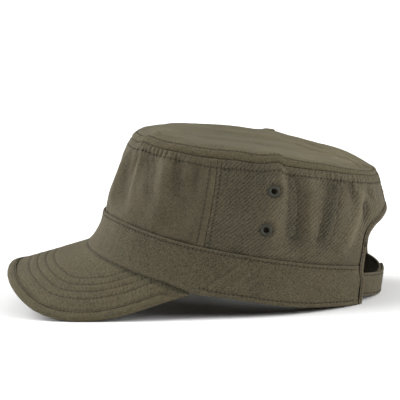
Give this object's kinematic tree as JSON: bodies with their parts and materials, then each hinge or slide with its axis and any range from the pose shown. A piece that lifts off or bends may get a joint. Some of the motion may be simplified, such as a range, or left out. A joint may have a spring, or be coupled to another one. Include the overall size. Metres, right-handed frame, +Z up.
{
  "type": "army cap",
  "caption": "Flat-topped cloth army cap with a wide band, curved stitched peak, side eyelets and an arched rear opening closed by an overlapping strap.",
  "frame": {"origin": "on the surface the cap rests on, under the middle of its outline", "axes": "+Z up from the surface; -Y towards the peak (the front); +X towards the wearer's left. The cap rests tipped back 13 degrees on the two sides of its peak and the rear of its band and strap"},
  "size_m": [0.1696, 0.2598, 0.1166],
  "materials": {
    "crown_cloth": "matt washed cotton twill, olive grey",
    "top_cloth": "matt washed cotton twill, olive grey, lighter where it is rubbed",
    "band_cloth": "matt washed cotton twill, olive grey",
    "peak_cloth": "matt washed cotton twill over a stiff core, stitched in rows",
    "strap_cloth": "matt washed cotton twill, edge stitched",
    "eyelet_metal": "dark green-grey lacquer, half matt"
  },
  "bodies": {
    "root": {"top_panel": "top_cloth", "front_panel": "crown_cloth", "side_panel_left": "crown_cloth", "side_panel_right": "crown_cloth", "band": "band_cloth", "peak": "peak_cloth", "peak_binding": "peak_cloth", "opening_binding": "crown_cloth", "strap_left": "strap_cloth", "strap_right": "strap_cloth", "eyelet_left_upper": "eyelet_metal", "eyelet_left_lower": "eyelet_metal", "eyelet_right_upper": "eyelet_metal", "eyelet_right_lower": "eyelet_metal"}
  },
  "joints": []
}
